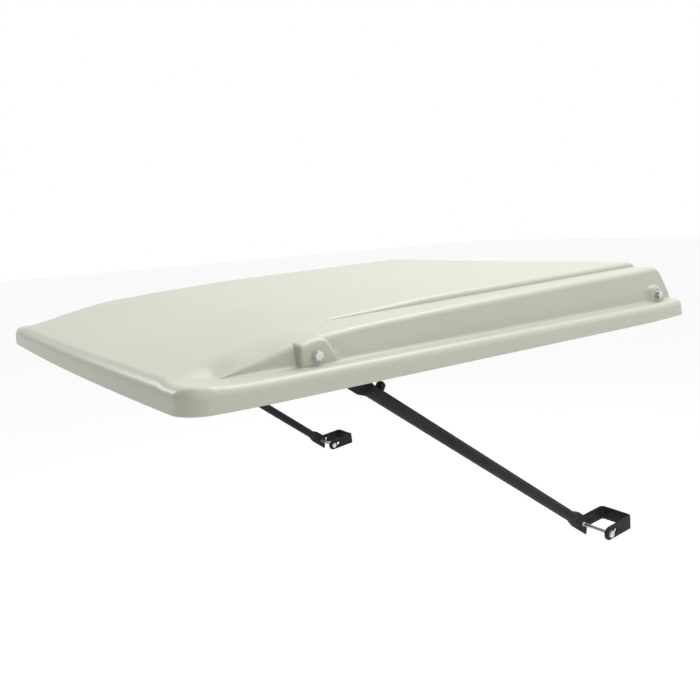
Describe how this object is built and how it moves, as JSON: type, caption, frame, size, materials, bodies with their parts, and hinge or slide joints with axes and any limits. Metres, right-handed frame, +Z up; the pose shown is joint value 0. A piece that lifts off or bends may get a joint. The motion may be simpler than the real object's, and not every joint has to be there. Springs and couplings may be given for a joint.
{
  "type": "roll-bar roof canopy",
  "caption": "Moulded hard-top canopy for the roll bar of a tractor or mower, with swinging tube struts that end in U-shaped post clamps.",
  "frame": {"origin": "centre of the roll bar's top tube, midway between the two saddle plates", "axes": "+Z up, square to the roof's rim; -Y towards the front of the vehicle; +X to the vehicle's left"},
  "size_m": [1.0648, 1.157, 0.5644],
  "materials": {
    "roof_plastic": "semi-gloss moulded grain",
    "black_powder_coat": "satin powder coat",
    "zinc_steel": "bright zinc plate",
    "black_nylon": "matt"
  },
  "bodies": {
    "roof": {"roof_shell": "roof_plastic", "front_cross_tube": "black_powder_coat", "saddle_front_tube": "black_powder_coat", "saddle_rear_tube": "black_powder_coat", "left_side_rail": "black_powder_coat", "left_saddle_plate": "black_powder_coat", "left_u_bolt": "zinc_steel", "left_front_u_washer": "zinc_steel", "left_front_u_nut": "zinc_steel", "left_rear_u_washer": "zinc_steel", "left_rear_u_nut": "zinc_steel", "left_front_bolt": "zinc_steel", "left_front_washer": "zinc_steel", "left_front_nut": "zinc_steel", "left_rear_bolt": "zinc_steel", "left_rear_washer": "zinc_steel", "left_rear_nut": "zinc_steel", "left_pivot_bush": "black_nylon", "left_thrust_washer": "black_nylon", "left_rear_spacer": "zinc_steel", "right_side_rail": "black_powder_coat", "right_saddle_plate": "black_powder_coat", "right_u_bolt": "zinc_steel", "right_front_u_washer": "zinc_steel", "right_front_u_nut": "zinc_steel", "right_rear_u_washer": "zinc_steel", "right_rear_u_nut": "zinc_steel", "right_front_bolt": "zinc_steel", "right_front_washer": "zinc_steel", "right_front_nut": "zinc_steel", "right_rear_bolt": "zinc_steel", "right_rear_washer": "zinc_steel", "right_rear_nut": "zinc_steel", "right_pivot_bush": "black_nylon", "right_thrust_washer": "black_nylon", "right_rear_spacer": "zinc_steel"},
    "left_strut": {"left_strut": "black_powder_coat", "left_lug": "black_powder_coat", "left_lug_bolt": "zinc_steel", "left_lug_nut": "zinc_steel"},
    "left_clamp": {"left_post_clamp": "black_powder_coat", "left_clamp_bolt": "zinc_steel", "left_clamp_nut": "zinc_steel"},
    "right_strut": {"right_strut": "black_powder_coat", "right_lug": "black_powder_coat", "right_lug_bolt": "zinc_steel", "right_lug_nut": "zinc_steel"},
    "right_clamp": {"right_post_clamp": "black_powder_coat", "right_clamp_bolt": "zinc_steel", "right_clamp_nut": "zinc_steel"}
  },
  "joints": [
    {"name": "left_strut_swing", "type": "hinge", "parent": "roof", "child": "left_strut", "pos_m": [0.474, -0.65618, 0.0432], "axis": [1, 0, 0], "range_deg": [-68, 8]},
    {"name": "left_clamp_pivot", "type": "hinge", "parent": "left_strut", "child": "left_clamp", "pos_m": [0.474, -0.03575, -0.40263], "axis": [1, 0, 0], "range_deg": [-120, 85]},
    {"name": "right_strut_swing", "type": "hinge", "parent": "roof", "child": "right_strut", "pos_m": [-0.474, -0.65618, 0.0432], "axis": [1, 0, 0], "range_deg": [-65.9, 10.1]},
    {"name": "right_clamp_pivot", "type": "hinge", "parent": "right_strut", "child": "right_clamp", "pos_m": [-0.474, -0.0525, -0.42506], "axis": [1, 0, 0], "range_deg": [-120, 85]}
  ]
}
